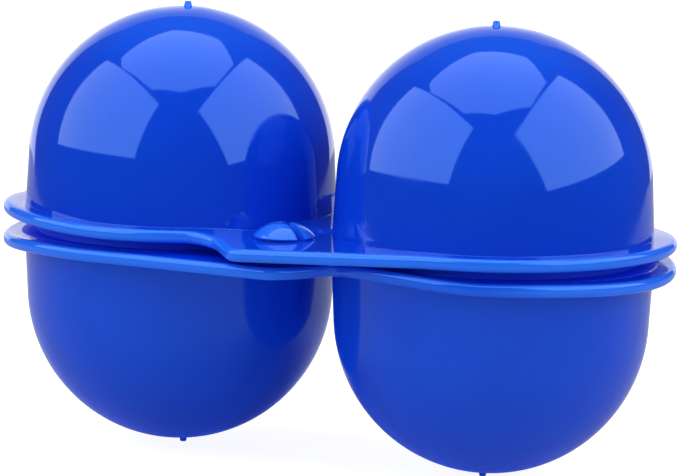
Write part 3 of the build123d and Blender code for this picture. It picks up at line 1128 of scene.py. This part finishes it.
@dataclass
class Studio:
    """White sweep, round table top and wall, and soft lights. Sizes are in metres."""

    heart: tuple = (0.0, -0.0012, 0.047)  # point that the lights stand about
    distance: float = 1.3  # distance of the soft lights
    sky: float = 0.07  # brightness of all that isn't named here
    sweep_size: tuple = (1.7, 0.8, 2.6)  # radius of its floor and its bend, and its height
    sweep_rings: tuple = (0.001, 0.3, 0.9)  # radii of the floor's rings of points
    sweep_glow: float = 0.90  # light of its own
    sweep_grey: float = 0.35
    table_place: tuple = (-0.012, 0.008, -0.0006)  # middle of the table top
    table_rings: tuple = (0.001, 0.12, 0.467)  # radii of its rings of points, out to its edge
    table_grey: float = 0.40
    wall_y: float = 0.82  # distance of the wall
    wall_z: tuple = (-0.06, 0.70)  # its foot and its top
    wall_turn: float = -155.0  # azimuth that it faces, in degrees
    wall_left: tuple = (-31.0, -21.0)  # left end at its foot and its top, in degrees
    wall_right: tuple = (39.0, 27.0)  # its right end
    wall_glow: tuple = (1.15, 0.22)  # at its foot and its top
    plain_grey: float = 0.1  # of the wall and of the light overhead
    boxes: tuple = (
        SoftBox("fill_from_below", 2.6, (0.0, 0.0, -0.30), (1.0, 0.0, 0.0), (0.0, -1.0, 0.0),
                (0.75, 0.75), mirrored=False),
        SoftBox("fill_from_front", 0.6, (0.423, -0.906, 0.0), (0.906, 0.423, 0.0),
                (0.0, 0.0, 1.0), (0.75, 0.75), mirrored=False),
        SoftBox("left_soft_box", 1.97, (-0.588, -0.593, 0.550), (0.690, -0.723, 0.038),
                (0.241, 0.279, 0.930), (1.448, 0.973)),
        SoftBox("right_soft_box", 1.97, (0.796, 0.041, 0.603), (-0.156, 0.981, 0.117),
                (-0.416, -0.173, 0.893), (1.54, 1.042)),
    )
    overhead_glow: float = 1.75
    overhead: tuple = (  # corners of the light overhead, in units of its height
        (-0.728, -0.029), (-0.351, 0.448), (0.051, 0.543), (0.42, 0.298),
        (0.549, -0.201), (0.256, -0.574), (-0.164, -0.666), (-0.687, -0.221),
    )

    def staged(self, name: str, points: Array, faces: list, grey: float, glow: tuple) -> Object:
        """Makes a matt surface of the studio that may also give light.

        Args:
            name: Name of the surface.
            points: Its points in metres.
            faces: Its faces.
            grey: How much light it throws back.
            glow: Brightness of its own at its lowest and its highest point.

        Returns:
            The staged object.
        """
        tree = Nodes(name)
        strength = glow[0]
        if glow[0] != glow[1]:
            z = tree.add("SeparateXYZ", "Z", {"Vector": tree.add("TexCoord", "Object", {})})
            ends = (float(points[..., 2].min()), float(points[..., 2].max()))
            strength = tree.remap(z, ends, glow, interpolation_type="SMOOTHSTEP")
        tree.feed(tree.shader, {
            "Base Color": (grey, grey, grey, 1.0), "Roughness": 1.0, "Specular IOR Level": 0.0,
            "Emission Color": (1.0, 1.0, 1.0, 1.0), "Emission Strength": strength,
        })
        face = placed(name, smooth_mesh(name, points, faces, tree.material))
        return face

    def round_face(
        self, name: str, profile: Array, place: tuple, grey: float, glow: float
    ) -> Object:
        """Makes a surface of the studio by turning a profile about Z.

        Args:
            name: Name of the surface.
            profile: Points (r, z) in metres, from the middle outwards.
            place: Its middle.
            grey: How much light it throws back.
            glow: Brightness of its own.

        Returns:
            The staged object.
        """
        n = PLAIN_STEPS
        faces = grid_faces(len(profile), n, close_cols=True).tolist() + [list(range(n))]
        return self.staged(name, lathe(profile, around(n), place), faces, grey, (glow, glow))

    def sweep(self) -> None:
        """Makes the floor, which curves up into a wall, for the eye alone."""
        floor, bend, top = self.sweep_size
        curve = arc((floor, bend), bend, -np.pi / 2, 0, 16)
        flat = [[r, 0] for r in self.sweep_rings]
        profile = np.vstack([flat, curve, [[floor + bend, top]]])
        face = self.round_face("floor_sweep", profile, (0, 0, 0), self.sweep_grey, self.sweep_glow)
        face.visible_glossy = face.visible_diffuse = False
        face.visible_transmission = face.visible_shadow = False

    def table(self) -> None:
        """Makes the round table top that the keeper mirrors."""
        profile = np.array([[r, 0] for r in self.table_rings])
        face = self.round_face("table_top", profile, self.table_place, self.table_grey, 0.0)
        face.visible_camera = face.visible_shadow = False

    def wall(self) -> None:
        """Makes the glowing white wall behind, which narrows towards its top.

        A point is at height z and tan a along a plane, with a the azimuth from the wall's middle;
        a runs between ends that move in as z rises.
        """
        away = np.radians(self.wall_turn)
        out, side = (np.array([np.sin(v), -np.cos(v), 0.0]) for v in (away, away + np.pi / 2))
        low, high = self.wall_z
        share, z = np.meshgrid(np.linspace(0, 1, 25), np.linspace(low, high, 13), indexing="ij")
        rise = (z - low) / (high - low)
        left, right = (a + (b - a) * rise for a, b in (self.wall_left, self.wall_right))
        a = np.radians(left * (1 - share) + right * share)
        points = self.wall_y * (out + np.tan(a)[..., None] * side) + z[..., None] * [0.0, 0.0, 1.0]
        faces = grid_faces(*z.shape).tolist()
        face = self.staged("white_wall", points, faces, self.plain_grey, self.wall_glow)
        face.visible_camera = False

    def build(self) -> None:
        """Makes the sweep, the table, the wall, the lights and the sky."""
        heart = Vector(self.heart)
        self.sweep()
        self.table()
        self.wall()
        for box in self.boxes:
            box.light(heart, self.distance)
        corners = np.array(self.overhead) * self.distance + [0.0, heart.y]
        corners = np.column_stack([corners, np.full(len(corners), heart.z + self.distance)])
        octagon = self.staged("overhead_soft_box", corners, [list(range(len(corners)))],
                              self.plain_grey, (self.overhead_glow,) * 2)
        octagon.visible_camera = False
        world = bpy.data.worlds.new("studio")
        world.use_nodes = True
        sky = world.node_tree.nodes["Background"].inputs
        sky["Color"].default_value, sky["Strength"].default_value = (1, 1, 1, 1), self.sky
        bpy.context.scene.world = world
        settings = bpy.context.scene.view_settings
        settings.view_transform = "Standard"
        settings.look = "None"
        log.info("studio: sweep, table, wall and %d soft lights", len(self.boxes) + 1)


@dataclass(frozen=True)
class Viewpoint:
    """Camera at the height of the lid, a little to the right of the snap tab."""

    azimuth: float = 24.79  # degrees to the right of straight in front
    elevation: float = 8.573  # in degrees, as is the roll
    roll: float = 1.179
    distance: float = 0.6448  # in metres
    lens: float = 212.58  # in millimetres
    target: tuple = (0.0, -0.00115, 0.03531)  # point that it looks towards, in metres
    slide: tuple = (0.00096, 0.00071)  # its shift to the right and up after that

    def build(self) -> None:
        """Makes the camera and hands it to the scene."""
        az, el, roll = (float(np.radians(v)) for v in (self.azimuth, self.elevation, self.roll))
        back = Vector((np.sin(az) * np.cos(el), -np.cos(az) * np.cos(el), np.sin(el)))
        right = Vector((np.cos(az), np.sin(az), 0.0))
        turn = Matrix.Rotation(roll, 3, back)
        x, y = turn @ right, turn @ back.cross(right)
        data = bpy.data.cameras.new("camera")
        data.lens = self.lens
        data.clip_start, data.clip_end = 0.01, 20.0
        camera = placed("camera", data)
        spot = Vector(self.target) + self.distance * back + self.slide[0] * x + self.slide[1] * y
        camera.matrix_world = Matrix.Translation(spot) @ Matrix((x, y, back)).transposed().to_4x4()
        bpy.context.scene.camera = camera
        log.info("camera: azimuth %.1f, elevation %.1f", self.azimuth, self.elevation)


def main() -> None:
    """Builds the keeper, the studio and the camera."""
    logging.basicConfig(level=logging.INFO, format="%(name)s: %(message)s")
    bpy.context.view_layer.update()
    sizes = KeeperSizes()
    Viewpoint().build()
    Studio().build()

    base_finish = MouldedPlastic("base_polypropylene").material()
    lid_finish = MouldedPlastic("lid_polypropylene").material()
    lid = Flange(
        Half.LID, sizes, tab_x=-1.1, tab_r=3.4, tab_out=sizes.tab_out, shoulder_r=6.5,
        hole_r=sizes.mouth_r, snap_hole_r=4.0, drop=sizes.tab_drop,
        bends=(Bend(-1, 216.0, 60.0, -0.75), Bend(1, 62.0, 45.0, 0.4)),
    )
    # the base's front edge gets painted shade under the lid's tab between the shaded lines
    base = Flange(
        Half.BASE, sizes, tab_x=1.4, tab_r=3.8, tab_out=1.3, shoulder_r=3.0,
        hole_r=sizes.mouth_r + sizes.cove_r, shaded=(8.0, 37.0),
        bends=(Bend(-1, 200.0, 50.0, 0.75), Bend(1, -6.0, 52.0, 0.55),
               Bend(1, 253.0, 38.0, -0.9, free_x=5.0)),
    )
    base.build(base_finish, ["base_flange"])
    lid.build(lid_finish, ["lid_flange"])
    drift_x, drift_y = 0.91, 0.42  # direction in which the marks have drifted off the axes
    for flange, finish, mark_h, drifts in (
        (base, base_finish, sizes.tip_h, (0.86, -0.67)),
        (lid, lid_finish, 0.85, (0.60, -0.34)),
    ):
        for side, name, off in zip((-1, 1), ("left", "right"), drifts):
            cup = Cup(f"{flange.half.value}_cup_{name}", flange.half, side * sizes.cup_x, flange,
                      gate=(drift_x * off, drift_y * off), gate_h=mark_h)
            cup.build(finish)
    SnapStud(sizes).build(base_finish)
    ClipHinge(sizes).build(base_finish, lid_finish)


if __name__ == "__main__":
    main()
